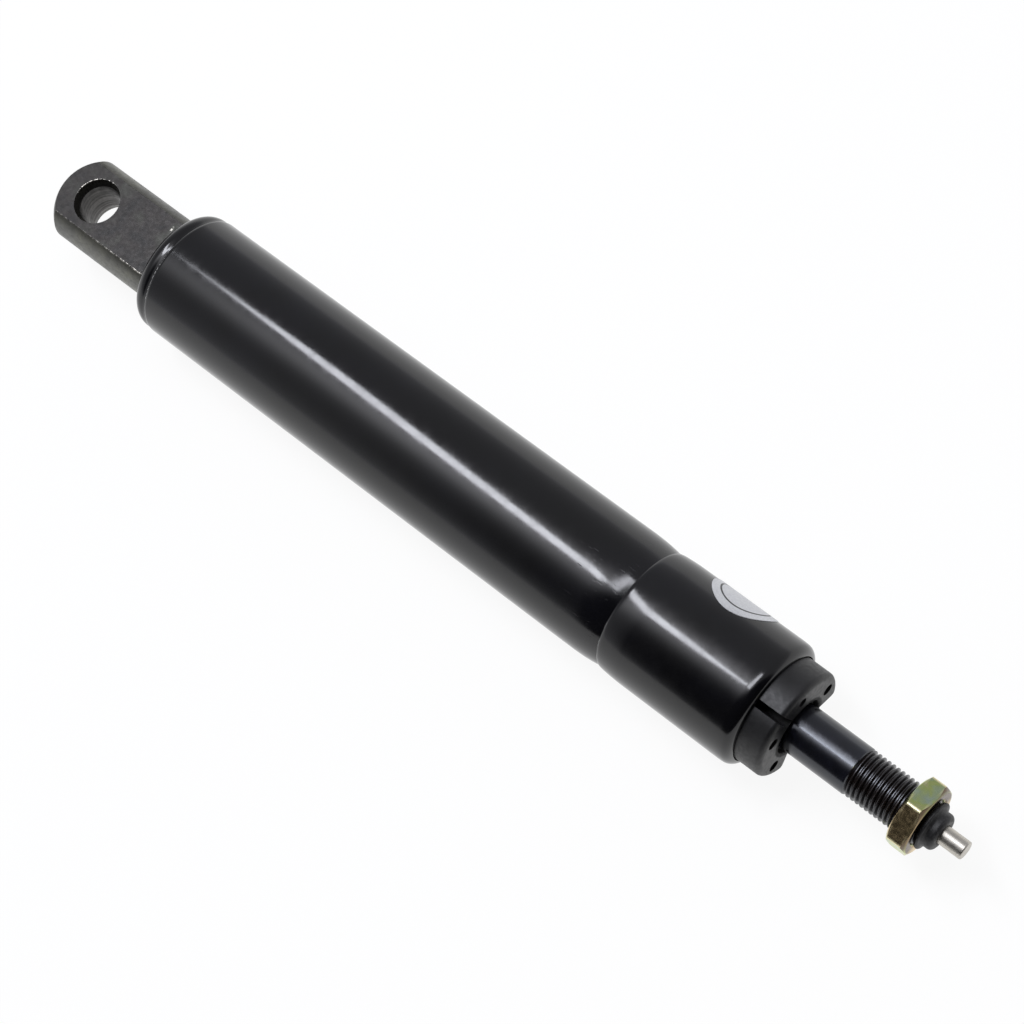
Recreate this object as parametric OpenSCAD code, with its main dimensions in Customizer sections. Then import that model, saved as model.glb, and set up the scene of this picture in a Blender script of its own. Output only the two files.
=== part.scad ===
// Lockable gas-hydraulic strut: a black tube with a flat eye at its base, and a
// hollow rod with a threaded end, a lock nut, a dust boot and a release pin.
// Millimetres. Origin: centre of the eye's bore. +X runs along the strut towards
// the rod's end, +Z along the eye's bore. The rod is drawn fully pushed in.

/* [Tube] */
// outer diameter of the tube
tube_d = 32; // [24:0.5:50]
// thickness of the tube's wall
tube_wall = 1.6; // [1.2:0.1:3]
// length of the tube between its two rolled ends
tube_len = 186.5; // [160:0.5:400]
// from the centre of the eye to the tube's end
tube_start = 25.3; // [22:0.1:60]
// outer radius of the roll at the base end
base_round = 3; // [1.8:0.1:4]
// outer radius of the roll at the mouth
mouth_round = 2.4; // [1.4:0.1:3]
// thickness of the tube's rolled-in end walls
lip_t = 1.9; // [1.4:0.1:3]
// from the mouth back to the bottom of the rolled groove
groove_back = 38.2; // [32:0.1:45]
// depth of the rolled groove
groove_depth = 0.65; // [0.3:0.05:1]
// length of the groove's steep side, towards the eye
groove_fall = 9.5; // [3:0.1:12]
// length of the groove's gentle side, towards the mouth
groove_rise = 6.5; // [3:0.1:9]

/* [Eye fitting] */
// diameter of the round bar that the eye is milled from
bar_d = 22; // [18:0.5:26]
// thickness across the eye's flats
eye_t = 15.2; // [8:0.1:18]
// radius of the eye's domed end, about the centre of its bore
eye_end_r = 13.2; // [11.5:0.1:18]
// diameter of the eye's bore
eye_bore_d = 10.5; // [6:0.1:14]
// how much wider the steep lead-in at each end of the eye's bore is than the bore, all round
eye_lead_rise = 0.75; // [0.25:0.05:1.5]
// how deep the lead-in goes from the flat
eye_lead_depth = 2.5; // [0.25:0.25:3.5]
// length of the plug inside the tube
plug_len = 14; // [10:0.5:24]
// depth of the hollow in the plug's inner end
plug_hollow = 2; // [1:0.1:4]

/* [Rod] */
// diameter of the rod
rod_d = 12; // [10:0.5:16]
// gap around the release pin in the rod's bore
pin_gap = 0.35; // [0.25:0.05:0.6]
// length of smooth rod between collar and thread, with the rod pushed in
rod_show = 16.6; // [8:0.1:40]
// length of the thread on the rod's end
thread_len = 18.9; // [12:0.1:40]
// pitch of the thread
thread_pitch = 1.25; // [1:0.25:1.75]
// step down from the rod to the spigot that carries the piston
spigot_step = 1.5; // [1:0.1:2]
// diameter of the pocket in the rod's end that holds the boot
boot_pocket_d = 7.4; // [6.6:0.1:9]
// depth of that pocket
boot_pocket = 4.2; // [2:0.1:8]
// diameter of the oil port drilled across the rod
port_d = 1.8; // [1:0.1:2.5]

/* [Piston and valve] */
// length of the piston
piston_len = 8.5; // [7:0.1:16]
// width of the piston's ring
ring_w = 2.6; // [1.6:0.1:4]
// radial depth of the piston's ring
ring_h = 2.2; // [1.4:0.1:3]
// thickness of the piston's nut
piston_nut_t = 5; // [3:0.1:8]
// width across the flats of the piston's nut
piston_nut_af = 14; // [12.5:0.1:18]
// diameter of the valve's stem
stem_d = 2.4; // [1.8:0.1:3]
// diameter of the valve's head
head_d = 6.4; // [5.6:0.1:8]
// thickness of the valve's head
head_t = 2.2; // [1.2:0.1:4]
// length of the valve's seat inside the spigot
seat_len = 8; // [5:0.1:12]
// length of the bush that the stem runs in, behind the port
stem_bush_len = 3; // [2:0.1:6]
// room left between the stem's ring and the release pin when it is pressed in
stem_reserve = 3; // [1.5:0.1:6]

/* [Separator] */
// length of the piston that parts the gas from the oil
separator_len = 11; // [8:0.1:20]
// length of the gas room with the rod pushed in
gas_room = 6.25; // [2:0.1:30]
// length of the oil room with the rod pushed in
oil_room = 13.3; // [6:0.1:40]
// depth of the hollow in the separator's gas side
separator_hollow = 6; // [2:0.1:7]

/* [Guide and seals] */
// length of the guide's slim nose
nose_len = 14.9; // [8:0.1:24]
// gap between the guide's nose and the tube's bore, each side
nose_gap = 1.8; // [1:0.1:3]
// gap between the groove and the guide's body
guide_back = 0.9; // [0.5:0.1:4]
// wall between the pocket for the rod's seal and the tube's bore
seal_wall = 3.9; // [3.6:0.1:5]
// depth of the pocket for the rod's seal
seal_pocket = 8.2; // [5:0.1:9]
// thickness of the bush's wall
bush_wall = 1.5; // [1:0.1:2.5]
// length of the bush
bush_len = 14; // [8:0.1:16]
// thickness of the washer behind the seal
washer_t = 2; // [1:0.1:3]
// thickness of the wiper
wiper_t = 5.5; // [3:0.1:7]
// thickness of the end stop ahead of the guide
stop_t = 3; // [1.5:0.1:6]
// thickness of the rings' round section
oring_d = 1.8; // [1.4:0.1:2]

/* [End collar] */
// how far the collar's lobes stand in from the tube's bore, each side
collar_inset = 0.7; // [0.6:0.1:1.5]
// how far the collar stands out of the tube's mouth
collar_stand = 6.9; // [5:0.1:12]
// thickness of the collar's flange behind the mouth's lip
collar_flange = 4.2; // [3:0.1:6]
// rounding of the collar's front edge
collar_round = 1.5; // [0.5:0.1:2]
// gap between the rod and the inner face of the lobes
hollow_gap = 1.7; // [1:0.1:2.5]
// from the collar's front back to the hub around the rod
collar_hollow = 2.8; // [1.5:0.1:5]
// width of the slit between the lobes
slit_w = 1.9; // [1:0.1:3]
// angle of the open side opposite the slit
collar_gap_angle = 105; // [60:1:120]
// where the slit points, turned about the rod from straight up
slit_angle = 13.6; // [-45:0.1:45]
// diameter of the four blind holes in the collar's front
blind_hole_d = 2.9; // [1:0.1:3.2]
// depth of the blind holes
blind_hole = 4; // [1:0.1:5]
// from the outer face of the lobes in to the centres of the holes
blind_hole_in = 3.3; // [2.5:0.1:3.8]

/* [Lock nut] */
// width across the nut's flats
nut_af = 16.5; // [16:0.1:22]
// thickness of the nut
nut_t = 5.2; // [4:0.1:8]
// angle of the nut's corner, turned about the rod from straight up
nut_angle = 1.8; // [-30:0.1:30]

/* [Boot and release pin] */
// diameter of the boot's flange
boot_d = 12.2; // [10:0.1:16]
// thickness of the boot's flange
boot_flange = 1.3; // [0.8:0.1:3]
// length of the boot in front of the rod
boot_len = 3.9; // [2.5:0.1:8]
// diameter of the release pin
pin_d = 4.5; // [4:0.1:4.6]
// how far the pin stands out of the boot
pin_show = 5.9; // [4:0.1:12]
// how far the pin can be pressed in
pin_travel = 3; // [1:0.1:3.5]

/* [Label] */
// diameter of the round sticker
label_d = 17; // [10:0.5:24]
// thickness of the sticker
label_t = 0.12; // [0.1:0.01:0.2]
// from the mouth back to the sticker's centre
label_back = 18.8; // [13:0.1:23]
// where the sticker faces, turned about the tube from straight up
label_angle = -68; // [-180:1:180]

/* [Fits] */
// running clearance between pieces that slide, each side
run_gap = 0.05; // [0.02:0.01:0.1]
// gap between flat faces that meet
seat_gap = 0.05; // [0.02:0.01:0.1]
// loose clearance where a piece only passes another
loose_gap = 0.3; // [0.2:0.05:0.5]

/* [Hidden] */
facets = 96;
eps = 0.01;
far = 100;

tube_r = tube_d / 2;
in_r = tube_r - tube_wall;
fit_r = in_r - run_gap;
rod_r = rod_d / 2;
bar_r = bar_d / 2;
stem_r = stem_d / 2;
spigot_r = rod_r - spigot_step;
pin_r = pin_d / 2;
bore_r = pin_r + pin_gap;
oring_r = oring_d / 2;
collar_r = in_r - collar_inset;
hollow_r = rod_r + hollow_gap;
nose_r = in_r - nose_gap;
seal_pocket_r = in_r - seal_wall;
bush_r = rod_r + bush_wall;
mouth_r = collar_r + loose_gap;
ring_land = 2 * oring_r * 1.25;
oring_mid = fit_r - oring_r;

// base end
x_plug = tube_start + lip_t + seat_gap;
x_plug_end = x_plug + plug_len;
plug_chamfer = max(base_round - tube_wall, 0.4);

// separator, valve and piston, with the rod pushed in
x_separator = x_plug_end + gas_room;
x_head = x_separator + separator_len + oil_room;
x_spigot = x_head + head_t + seat_gap;
x_piston_nut = x_spigot + 0.5;
x_piston = x_piston_nut + piston_nut_t;
x_shoulder = x_piston + piston_len;
x_port = x_shoulder + port_d / 2 + 1.6;
x_stem_bush = x_port + port_d / 2 + 1.1;
x_stem_ring = x_stem_bush + stem_bush_len;
stem_ring_r = (bore_r - stem_r - 2 * run_gap) / 2;
x_pin = x_stem_ring + 2 * stem_ring_r + pin_travel + stem_reserve;

// mouth end
x_mouth = tube_start + tube_len;
x_groove = x_mouth - groove_back;
x_lip = x_mouth - lip_t;
x_flange = x_lip - seat_gap - collar_flange;
x_wiper = x_flange - seat_gap - wiper_t;
x_washer = x_wiper - seat_gap - washer_t;
x_guide_end = x_washer - seat_gap;
x_guide_body = x_groove + groove_rise + guide_back;
x_nose = x_guide_body - nose_len;
x_stop = x_nose - seat_gap - stop_t;
x_guide_ring = (x_guide_body + x_guide_end) / 2;

// outside, along the rod
x_collar = x_mouth + collar_stand;
x_hub = x_collar - collar_hollow;
x_thread = x_collar + rod_show;
x_rod_end = x_thread + thread_len;
x_nut = x_rod_end - 2 * seat_gap - nut_t;
x_boot = x_rod_end + seat_gap;
x_boot_end = x_boot + boot_len;
x_pin_end = x_boot_end + pin_show;
thread_r = rod_r - 0.08;
thread_depth = 0.6134 * thread_pitch;
nut_bore_r = thread_r + run_gap;

// colours, as the object shows them
gloss_black = [0.10, 0.10, 0.11];
burnished = [0.40, 0.40, 0.37];
nitrided = [0.16, 0.16, 0.18];
plastic = [0.28, 0.28, 0.28];
zinc_yellow = [0.72, 0.72, 0.50];
rubber = [0.13, 0.13, 0.13];
bright_steel = [0.85, 0.85, 0.86];
aluminium = [0.75, 0.76, 0.77];
bronze = [0.72, 0.55, 0.30];
sticker = [0.90, 0.90, 0.90];

// a body of revolution about the strut's axis, from a drawing whose
// x is the radius and whose y is the place along the strut
module turned() rotate([0, 90, 0]) rotate_extrude($fn = facets) children();

// a flat-ended ring from x0 to x1 between two radii
module ring(x0, x1, r_in, r_out) turned() translate([r_in, x0]) square([r_out - r_in, x1 - x0]);

// a round-section ring at x
module oring(x, r_mid, r_section) turned() translate([r_mid, x]) circle(r = r_section, $fn = 48);

// what an outer rounding of radius r takes off the corner at [edge, x];
// side is 1 at the end that faces the eye and -1 at the other
module corner_off(edge, x, r, side) {
    difference() {
        translate([edge - r, side > 0 ? x - 1 : x - r]) square([r + 1, r + 1]);
        translate([edge - r, x + side * r]) circle(r = r, $fn = 64);
    }
}

// groove for a round-section ring, cut into an outer radius r
module ring_groove(x, r) {
    depth = 2 * oring_r + run_gap;
    translate([r - depth, x - ring_land / 2]) square([depth + 1, ring_land]);
}

// a hexagon prism along the strut, a corner straight up
module hex_bar(x0, x1, af) {
    rotate([0, 90, 0]) translate([0, 0, x0])
        cylinder(r = af / sqrt(3), h = x1 - x0, $fn = 6);
}

// painted steel tube: rolled in at both ends, with one rolled groove
module outer_tube() color(gloss_black) turned() difference() {
    translate([0, tube_start]) square([tube_r, tube_len]);
    corner_off(tube_r, tube_start, base_round, 1);
    corner_off(tube_r, x_mouth, mouth_round, -1);
    // the rolled groove: a sharp bottom between two rounded sides
    polygon([
        [tube_r + 1, x_groove - groove_fall],
        [tube_r, x_groove - groove_fall],
        [tube_r - 0.2 * groove_depth, x_groove - 0.55 * groove_fall],
        [tube_r - 0.55 * groove_depth, x_groove - 0.22 * groove_fall],
        [tube_r - groove_depth, x_groove],
        [tube_r - 0.55 * groove_depth, x_groove + 0.18 * groove_rise],
        [tube_r - 0.2 * groove_depth, x_groove + 0.5 * groove_rise],
        [tube_r, x_groove + groove_rise],
        [tube_r + 1, x_groove + groove_rise]
    ]);
    // the room inside, which the groove stands into as a low bead
    polygon([
        [-1, tube_start + lip_t],
        [in_r - plug_chamfer, tube_start + lip_t],
        [in_r, tube_start + lip_t + plug_chamfer],
        [in_r, x_groove - groove_fall],
        [in_r - groove_depth, x_groove],
        [in_r, x_groove + groove_rise],
        [in_r, x_lip],
        [-1, x_lip]
    ]);
    // the openings for the eye's bar and for the collar
    translate([-1, tube_start - 1]) square([bar_r + loose_gap + 1, lip_t + 1 + eps]);
    translate([-1, x_lip - eps]) square([mouth_r + 1, lip_t + 1 + eps]);
}

// flat eye and base plug, turned and milled from one round bar
module eye_fitting() color(burnished) difference() {
    turned() difference() {
        polygon([
            [0, -eye_end_r],
            [bar_r, -eye_end_r],
            [bar_r, x_plug],
            [fit_r - plug_chamfer, x_plug],
            [fit_r, x_plug + plug_chamfer],
            [fit_r, x_plug_end - 0.8],
            [fit_r - 0.8, x_plug_end],
            [0, x_plug_end]
        ]);
        // the domed end
        difference() {
            translate([0, -far]) square([far, far]);
            circle(r = eye_end_r, $fn = facets);
        }
        ring_groove(x_plug + plug_len / 2, fit_r);
        // a shallow hollow that faces the gas room
        translate([-1, x_plug_end - plug_hollow]) square([in_r / 2 + 1, plug_hollow + 1]);
    }
    // the two flats
    for (side = [-1, 1])
        translate([-far / 2, -bar_d, side > 0 ? eye_t / 2 : -eye_t / 2 - bar_d])
            cube([far / 2 + tube_start + 0.4, 2 * bar_d, bar_d]);
    // the bore and its steep lead-ins
    cylinder(d = eye_bore_d, h = 2 * bar_d, center = true, $fn = facets);
    for (side = [0, 1]) mirror([0, 0, side])
        translate([0, 0, eye_t / 2 - eye_lead_depth])
            cylinder(d1 = eye_bore_d, d2 = eye_bore_d + 4 * eye_lead_rise,
                     h = 2 * eye_lead_depth, $fn = facets);
}

module base_oring() color(rubber) oring(x_plug + plug_len / 2, oring_mid, oring_r);

// floating piston between the gas and the oil
module separator_piston() color(aluminium) turned() difference() {
    polygon([
        [0, x_separator],
        [fit_r - 0.8, x_separator],
        [fit_r, x_separator + 0.8],
        [fit_r, x_separator + separator_len - 0.8],
        [fit_r - 0.8, x_separator + separator_len],
        [0, x_separator + separator_len]
    ]);
    ring_groove(x_separator + separator_len / 2, fit_r);
    translate([-1, x_separator - 1]) square([0.6 * in_r + 1, separator_hollow + 1]);
}

module separator_oring() color(rubber)
    oring(x_separator + separator_len / 2, oring_mid, oring_r);

// working piston on the rod's spigot
module piston() color(bright_steel) turned() difference() {
    polygon([
        [spigot_r + run_gap, x_piston],
        [fit_r - 0.6, x_piston],
        [fit_r, x_piston + 0.6],
        [fit_r, x_shoulder - 0.6],
        [fit_r - 0.6, x_shoulder],
        [spigot_r + run_gap, x_shoulder]
    ]);
    translate([fit_r - ring_h - 2 * run_gap, x_piston + (piston_len - ring_w) / 2 - run_gap])
        square([ring_h + 1, ring_w + 2 * run_gap]);
}

// the ring that seals the piston; the rod can turn inside it
module piston_ring() color(plastic) {
    x0 = x_piston + (piston_len - ring_w) / 2;
    ring(x0, x0 + ring_w, fit_r - ring_h, fit_r);
}

module piston_nut() color(zinc_yellow) difference() {
    intersection() {
        hex_bar(x_piston_nut, x_piston - seat_gap, piston_nut_af);
        turned() polygon([
            [0, x_piston_nut],
            [piston_nut_af / 2, x_piston_nut],
            [piston_nut_af / sqrt(3), x_piston_nut + 0.6],
            [piston_nut_af / sqrt(3), x_piston],
            [0, x_piston]
        ]);
    }
    ring(x_piston_nut - 1, x_piston + 1, 0, spigot_r + run_gap);
}

// hollow rod: spigot, polished length, drilled port and threaded end
module piston_rod() color(nitrided) difference() {
    turned() difference() {
        turns = floor(thread_len / thread_pitch) - 1;
        union() {
            translate([0, x_spigot]) square([spigot_r, x_shoulder - x_spigot + 1]);
            translate([0, x_shoulder]) square([rod_r, x_thread - x_shoulder]);
            translate([0, x_thread - eps]) square([thread_r, thread_len + eps]);
        }
        // thread grooves, from the smooth rod out to the end
        for (i = [0 : turns]) translate([thread_r, x_thread + (i + 0.5) * thread_pitch])
            polygon([
                [0, -0.4375 * thread_pitch],
                [-thread_depth, -0.125 * thread_pitch],
                [-thread_depth, 0.125 * thread_pitch],
                [0, 0.4375 * thread_pitch],
                [1, 0.4375 * thread_pitch],
                [1, -0.4375 * thread_pitch]
            ]);
        // chamfer at the rod's end
        polygon([
            [thread_r - thread_depth, x_rod_end],
            [thread_r, x_rod_end - thread_depth],
            [thread_r + 1, x_rod_end - thread_depth],
            [thread_r + 1, x_rod_end + 1],
            [thread_r - thread_depth, x_rod_end + 1]
        ]);
        // the bore, and the pocket for the boot
        translate([-1, x_spigot - 1]) square([bore_r + 1, far * 4]);
        translate([-1, x_rod_end - boot_pocket]) square([boot_pocket_d / 2 + 1, far]);
    }
    translate([x_port, 0, 0]) rotate([90, 0, 0])
        cylinder(d = port_d, h = 2 * rod_d, center = true, $fn = 32);
}

// seat that the valve's head closes; the oil passes between it and the stem
module valve_seat() color(bronze)
    ring(x_spigot, x_spigot + seat_len, stem_r + loose_gap, bore_r - run_gap);

// bush behind the port that the valve's stem runs in
module stem_bush() color(bronze)
    ring(x_stem_bush, x_stem_ring - seat_gap, stem_r + run_gap, bore_r - run_gap);

module stem_oring() color(rubber)
    oring(x_stem_ring + stem_ring_r, stem_r + run_gap + stem_ring_r, stem_ring_r);

// valve stem with its head at the oil side
module valve_stem() color(bright_steel) turned() polygon([
    [0, x_head],
    [head_d / 2 - 0.8, x_head],
    [head_d / 2, x_head + 0.8],
    [head_d / 2, x_head + head_t],
    [stem_r, x_head + head_t],
    [stem_r, x_pin - seat_gap],
    [0, x_pin - seat_gap]
]);

// the long pin that opens the valve when it is pressed
module release_pin() color(bright_steel) turned() polygon([
    [0, x_pin],
    [pin_r - 0.4, x_pin],
    [pin_r, x_pin + 0.4],
    [pin_r, x_pin_end - 0.35],
    [pin_r - 0.12, x_pin_end - 0.1],
    [pin_r - 0.35, x_pin_end],
    [0, x_pin_end]
]);

// rod guide: slim nose behind the groove, sealed body, pocket for the seal
module rod_guide() color(aluminium) turned() difference() {
    polygon([
        [rod_r + loose_gap, x_nose],
        [nose_r - 1, x_nose],
        [nose_r, x_nose + 1],
        [nose_r, x_guide_body],
        [fit_r - 0.6, x_guide_body],
        [fit_r, x_guide_body + 0.6],
        [fit_r, x_guide_end],
        [rod_r + loose_gap, x_guide_end]
    ]);
    ring_groove(x_guide_ring, fit_r);
    translate([0, x_nose - 1]) square([bush_r, bush_len + 1]);
    translate([0, x_guide_end - seal_pocket]) square([seal_pocket_r, seal_pocket + 1]);
}

module guide_oring() color(rubber) oring(x_guide_ring, oring_mid, oring_r);

module guide_bush() color(bronze)
    ring(x_nose + seat_gap, x_nose + bush_len - seat_gap, rod_r + run_gap, bush_r - run_gap);

// lip seal: a ring with a V-shaped hollow that faces the oil
module rod_seal() color(rubber) turned() difference() {
    x0 = x_guide_end - seal_pocket + 2 * seat_gap;
    r0 = rod_r + run_gap;
    r1 = seal_pocket_r - run_gap;
    translate([r0, x0]) square([r1 - r0, seal_pocket - 3 * seat_gap]);
    polygon([
        [r0 + 0.9, x0 - 1],
        [r0 + 0.9, x0],
        [(r0 + r1) / 2, x0 + 0.5 * seal_pocket],
        [r1 - 0.9, x0],
        [r1 - 0.9, x0 - 1]
    ]);
}

module backup_washer() color(bright_steel)
    ring(x_washer, x_washer + washer_t, rod_r + loose_gap, fit_r - run_gap);

// wiper behind the collar, undercut around its lip
module rod_wiper() color(rubber) turned() difference() {
    translate([rod_r + run_gap, x_wiper]) square([fit_r - 2 * run_gap - rod_r, wiper_t]);
    polygon([
        [rod_r + 1.2, x_wiper + wiper_t + 1],
        [rod_r + 1.2, x_wiper + wiper_t],
        [rod_r + 2, x_wiper + 0.45 * wiper_t],
        [rod_r + 3.2, x_wiper + wiper_t],
        [rod_r + 3.2, x_wiper + wiper_t + 1]
    ]);
}

// soft end stop for the piston
module bump_stop() color(rubber)
    ring(x_stop, x_stop + stop_t, rod_r + loose_gap, nose_r - loose_gap);

// plastic collar: a flange behind the mouth's lip and two lobes in front of it
module end_collar() color(plastic) rotate([slit_angle, 0, 0]) difference() {
    turned() difference() {
        union() {
            translate([0, x_flange]) square([fit_r - run_gap, collar_flange]);
            translate([0, x_flange + eps]) square([collar_r, x_collar - x_flange - eps]);
        }
        corner_off(collar_r, x_collar, collar_round, -1);
        translate([-1, x_flange - 1]) square([rod_r + loose_gap + 1, far]);
        translate([-1, x_hub]) square([hollow_r + 1, far]);
    }
    // the slit and the open side, which both stop at the hub around the rod
    difference() {
        union() {
            translate([x_lip + 0.6, -slit_w / 2, 0]) cube([far, slit_w, 2 * collar_r]);
            translate([x_mouth + 0.4, 0, 0]) rotate([0, 90, 0]) linear_extrude(far)
                polygon([
                    [0, 0],
                    [tube_d, -tube_d * tan(collar_gap_angle / 2)],
                    [tube_d, tube_d * tan(collar_gap_angle / 2)]
                ]);
        }
        ring(x_flange, x_hub, 0, hollow_r);
    }
    // four round blind holes in the front
    for (turn = [-100, -32, 32, 100]) rotate([turn, 0, 0])
        translate([x_collar - blind_hole, 0, collar_r - blind_hole_in]) rotate([0, 90, 0])
            cylinder(d = blind_hole_d, h = blind_hole + 1, $fn = 32);
}

// thin lock nut, chamfered on both faces; its bore clears the thread's crests
module lock_nut() color(zinc_yellow) rotate([nut_angle, 0, 0]) difference() {
    corner_r = nut_af / sqrt(3);
    face_r = 0.485 * nut_af;
    slope = (corner_r - face_r) * 0.62;
    intersection() {
        hex_bar(x_nut, x_nut + nut_t, nut_af);
        turned() polygon([
            [0, x_nut],
            [face_r, x_nut],
            [corner_r + eps, x_nut + slope],
            [corner_r + eps, x_nut + nut_t - slope],
            [face_r, x_nut + nut_t],
            [0, x_nut + nut_t]
        ]);
    }
    turned() polygon([
        [0, x_nut - 1],
        [nut_bore_r + 1.5, x_nut - 1],
        [nut_bore_r, x_nut + 0.5],
        [nut_bore_r, x_nut + nut_t - 0.5],
        [nut_bore_r + 1.5, x_nut + nut_t + 1],
        [0, x_nut + nut_t + 1]
    ]);
}

// rubber dust boot: plug in the rod's end, flange and domed front
module dust_boot() color(rubber) turned() difference() {
    union() {
        translate([0, x_boot]) square([boot_d / 2 - boot_flange / 2, boot_flange]);
        translate([boot_d / 2 - boot_flange / 2, x_boot + boot_flange / 2])
            circle(r = boot_flange / 2, $fn = 48);
        polygon([
            [0, x_boot + boot_flange - eps],
            [0.82 * boot_d / 2, x_boot + boot_flange - eps],
            [0.78 * boot_d / 2, x_boot + 0.45 * boot_len],
            [0.72 * boot_d / 2, x_boot + 0.72 * boot_len],
            [0.62 * boot_d / 2, x_boot + 0.92 * boot_len],
            [0.50 * boot_d / 2, x_boot_end],
            [0, x_boot_end]
        ]);
        translate([0, x_boot - boot_pocket + 0.2])
            square([boot_pocket_d / 2 - run_gap, boot_pocket]);
    }
    translate([-1, x_boot - far]) square([pin_r + run_gap + 1, 2 * far]);
}

// round sticker wrapped on the tube
module label() color(sticker) intersection() {
    ring(x_mouth - label_back - label_d, x_mouth - label_back + label_d, tube_r, tube_r + label_t);
    rotate([label_angle, 0, 0]) translate([x_mouth - label_back, 0, 0])
        cylinder(d = label_d, h = tube_d, $fn = facets);
}

outer_tube();
eye_fitting();
base_oring();
separator_piston();
separator_oring();
piston();
piston_ring();
piston_nut();
piston_rod();
valve_seat();
stem_bush();
stem_oring();
valve_stem();
release_pin();
rod_guide();
guide_oring();
guide_bush();
rod_seal();
backup_washer();
rod_wiper();
bump_stop();
end_collar();
lock_nut();
dust_boot();
label();
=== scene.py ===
"""A lockable gas-hydraulic strut, dressed for its photograph.

The strut lies along X with the centre of its eye at the origin, the eye's bore
along Z and the rod's end towards +X. Sizes are written in millimetres and made
metres where a mesh is drawn.
"""

import math

import bmesh
import bpy
from mathutils import Matrix, Vector


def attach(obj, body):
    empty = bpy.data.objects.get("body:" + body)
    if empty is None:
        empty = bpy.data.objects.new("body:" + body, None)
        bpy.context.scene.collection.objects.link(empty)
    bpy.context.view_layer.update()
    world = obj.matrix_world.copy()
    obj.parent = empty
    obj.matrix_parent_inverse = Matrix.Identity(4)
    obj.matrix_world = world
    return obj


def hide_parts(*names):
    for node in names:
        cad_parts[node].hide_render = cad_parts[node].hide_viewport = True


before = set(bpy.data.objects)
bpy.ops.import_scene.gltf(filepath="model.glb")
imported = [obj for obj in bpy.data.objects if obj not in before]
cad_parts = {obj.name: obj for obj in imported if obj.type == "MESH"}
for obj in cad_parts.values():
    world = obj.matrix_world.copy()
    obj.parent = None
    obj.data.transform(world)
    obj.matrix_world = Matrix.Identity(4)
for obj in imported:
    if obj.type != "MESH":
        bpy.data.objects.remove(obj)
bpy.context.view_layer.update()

MM = 0.001
SIDES = 192

# tube
TUBE_R = 16.0
BORE_R = 14.4
TUBE_START, TUBE_MOUTH = 25.3, 211.8
BASE_OPENING_R, MOUTH_OPENING_R, LIP = 11.3, 14.0, 1.9
# base end: a roll up to a crest, a shallow valley, and a rise to the full radius
BASE_ROLL, BASE_CREST, VALLEY, BASE_RISE_END, BASE_RISE = 2.9, 15.78, 29.3, 30.6, 1.6
# mouth end: an easing inwards by a few degrees, then the roll
MOUTH_EASE, MOUTH_TILT, MOUTH_ROLL = 14.0, 6.0, 2.4
GROOVE, GROOVE_DEPTH, GROOVE_FALL, GROOVE_RISE = 173.6, 0.65, 9.5, 6.5
# eye fitting
BAR_R, FLAT_Z, EYE_DOME_R, EYE_BORE_R = 11.0, 7.6, 13.2, 5.25
LEAD_RISE, LEAD_DEPTH = 0.75, 2.5
FLAT_END, PLUG_START, PLUG_END, PLUG_R = 25.7, 27.25, 41.25, 14.35
PLUG_GROOVE, PLUG_GROOVE_WIDTH, PLUG_GROOVE_R = 34.25, 2.25, 12.5
# collar: its flange, its hub and its two lobes
FLANGE_BACK, FLANGE_FRONT, FLANGE_R = 205.65, 209.85, 14.3
COLLAR_FRONT, COLLAR_R, COLLAR_RIM, COLLAR_BORE_R = 218.7, 13.7, 1.4, 6.3
HUB_FRONT, HUB_R, RECESS_R = 217.2, 7.7, 7.05
SLIT_FLOOR, SLIT_ANGLE, SLIT_WIDTH = 210.5, 13.6, 1.9
GAP_FLOOR, GAP_ANGLE, LOBE_CORNER = 212.2, 127.5, 2.2
# the blind holes: (degrees from the slit, radius) of each
HOLES = ((-100, 1.5), (-32, 1.2), (32, 1.5), (100, 1.5))
HOLE_DEPTH, HOLE_IN = 1.3, 3.3
# how far the tools that cut the collar reach
COLLAR_SPAN, CUT_END = (200.0, 240.0), 230.0
# rod, nut, boot and pin
ROD_R, THREAD_START, ROD_END, PITCH = 6.0, 235.3, 254.2, 1.25
THREAD_R, THREAD_DEPTH, THREAD_CHAMFER = 5.92, 0.767, 0.75
SPIGOT_START, SPIGOT_R, SHANK_START = 74.05, 4.5, 88.05
HOLLOW_R, POCKET_START, POCKET_R = 2.6, 250.0, 3.7
PORT_X, PORT_R = 90.55, 0.9
NUT_BACK, NUT_FRONT, NUT_FLATS = 248.9, 254.1, 16.5
NUT_FACE_R, NUT_BORE_R, NUT_SINK, NUT_ANGLE = 8.0, 5.97, 0.5, 1.8
BOOT_PLUG, BOOT_PLUG_R, BOOT_BORE_R = 250.25, 3.65, 2.3
BOOT_BACK, BOOT_FRONT, BOOT_LIP_R = 254.25, 258.15, 5.45
PIN_START, PIN_END, PIN_R = 102.85, 264.05, 2.25
# sticker
STICKER_X, STICKER_R, STICKER_ANGLE, STICKER_T = 193.0, 8.5, -68.0, 0.11
# well past the strut, for the ends of cutting tools
OUTSIDE = 20.0

# studio: the floor's greys and glow, the backdrop, and the sky's levels by height
PLAIN_FLOOR, SEEN_FLOOR, FLOOR_GLOW, BACKDROP = 0.8, 0.1, 0.914, 0.98
SKY_LEVELS = ((0.0, 0.96), (0.07, 0.64), (0.16, 0.53), (0.3, 0.45), (0.5, 0.38))
ROOM_COLOUR, LAMP_COLOUR = (0.98, 0.985, 1.03, 1), (0.96, 0.98, 1.06)
GLOW_TOWARDS, GLOW_WIDTHS, GLOW_LEVEL = (-0.361, -0.091, 0.973), (0.194, 0.317), 2.57
GLOW_LONG_WAY = (0.81, -0.58, 0)
DARK_TOWARDS, DARK_FADE = (0.684, -0.63, 0.352), (0.3, 0.5, 1.0, 0.04)
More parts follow.
